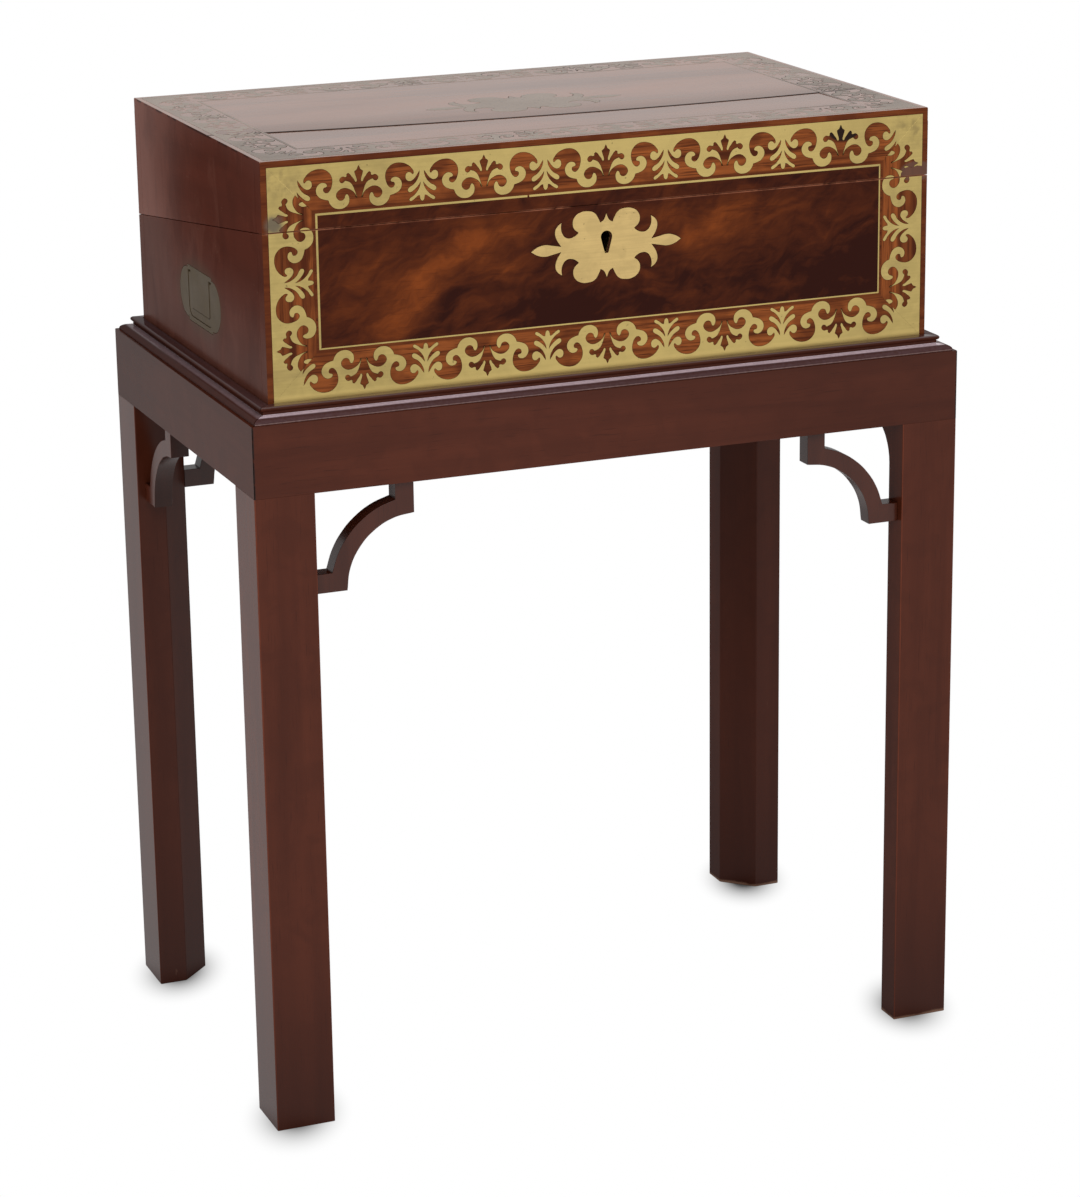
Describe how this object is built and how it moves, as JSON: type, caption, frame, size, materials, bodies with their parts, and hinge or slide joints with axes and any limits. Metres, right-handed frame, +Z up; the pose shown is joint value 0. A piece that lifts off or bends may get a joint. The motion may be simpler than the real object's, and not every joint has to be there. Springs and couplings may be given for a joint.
{
  "type": "lap desk on stand",
  "caption": "Brass-inlaid mahogany writing slope with hinged lid, drop handles, lock and pen tray, lifting off a square-legged stand with a moulded top and open corner brackets.",
  "frame": {"origin": "on the floor, under the middle of the stand", "axes": "+Z up; -Y the way the locked front of the desk looks; +X to the right of someone facing that front"},
  "size_m": [0.544, 0.342, 0.704],
  "materials": {
    "stand_mahogany": "waxed",
    "box_mahogany": "french polished",
    "inner_wood": "satin",
    "brass": "aged",
    "steel": "brushed",
    "leather": "worn",
    "glass": "clear"
  },
  "bodies": {
    "stand": {"leg_front_left": "stand_mahogany", "leg_front_right": "stand_mahogany", "leg_back_left": "stand_mahogany", "leg_back_right": "stand_mahogany", "rail_front": "stand_mahogany", "rail_back": "stand_mahogany", "rail_left": "stand_mahogany", "rail_right": "stand_mahogany", "moulding_front": "stand_mahogany", "moulding_back": "stand_mahogany", "moulding_left": "stand_mahogany", "moulding_right": "stand_mahogany", "platform": "stand_mahogany", "bracket_front_left": "stand_mahogany", "bracket_front_right": "stand_mahogany", "bracket_back_left": "stand_mahogany", "bracket_back_right": "stand_mahogany", "bracket_left_back": "stand_mahogany", "bracket_right_back": "stand_mahogany"},
    "desk": {"case_front": "box_mahogany", "case_back": "box_mahogany", "case_left": "box_mahogany", "case_right": "box_mahogany", "case_bottom": "box_mahogany", "case_inlay": "brass", "escutcheon": "brass", "lock_case": "brass", "left_handle_plate": "brass", "right_handle_plate": "brass", "hinge_leaf_case_left": "brass", "hinge_leaf_case_right": "brass", "hinge_pin_left": "brass", "hinge_pin_right": "brass", "tray_divider": "inner_wood", "tray_floor": "inner_wood", "partition_left": "inner_wood", "partition_right": "inner_wood", "pen_tray": "inner_wood", "inkwell_left": "glass", "inkwell_right": "glass", "inkwell_cap_left": "brass", "inkwell_cap_right": "brass"},
    "lid": {"lid_top": "box_mahogany", "lid_front": "box_mahogany", "lid_back": "box_mahogany", "lid_left": "box_mahogany", "lid_right": "box_mahogany", "lid_top_inlay": "brass", "lid_front_inlay": "brass", "lid_cartouche": "brass", "link_plate": "brass", "hinge_leaf_lid_left": "brass", "hinge_leaf_lid_right": "brass"},
    "case_flap": {"case_flap": "inner_wood", "case_skiver": "leather"},
    "lid_flap": {"lid_flap": "inner_wood", "lid_skiver": "leather"},
    "left_handle": {"left_bail": "brass"},
    "right_handle": {"right_bail": "brass"},
    "bolt": {"lock_bolt": "steel"}
  },
  "joints": [
    {"name": "desk_lift", "type": "slide", "parent": "stand", "child": "desk", "axis": [0, 0, 1], "range_m": [0, 0.2]},
    {"name": "lid_hinge", "type": "hinge", "parent": "desk", "child": "lid", "pos_m": [0, 0.154, 0.61565], "axis": [-1, 0, 0], "range_deg": [0, 165]},
    {"name": "case_flap_hinge", "type": "hinge", "parent": "desk", "child": "case_flap", "pos_m": [0, 0.13626, 0.61411], "axis": [-1, 0, 0], "range_deg": [0, 45]},
    {"name": "lid_flap_hinge", "type": "hinge", "parent": "lid", "child": "lid_flap", "pos_m": [0, 0.13626, 0.62146], "axis": [1, 0, 0], "range_deg": [0, 45]},
    {"name": "left_bail_hinge", "type": "hinge", "parent": "desk", "child": "left_handle", "pos_m": [-0.2512, 0, 0.594], "axis": [0, 1, 0], "range_deg": [0, 90]},
    {"name": "right_bail_hinge", "type": "hinge", "parent": "desk", "child": "right_handle", "pos_m": [0.2512, 0, 0.594], "axis": [0, -1, 0], "range_deg": [0, 90]},
    {"name": "bolt_slide", "type": "slide", "parent": "desk", "child": "bolt", "axis": [1, 0, 0], "range_m": [0, 0.0055]}
  ],
  "couplings": [
    {"joint": "case_flap_hinge", "follows": "lid_hinge", "ratio": 0.25},
    {"joint": "lid_flap_hinge", "follows": "lid_hinge", "ratio": 0.25}
  ]
}
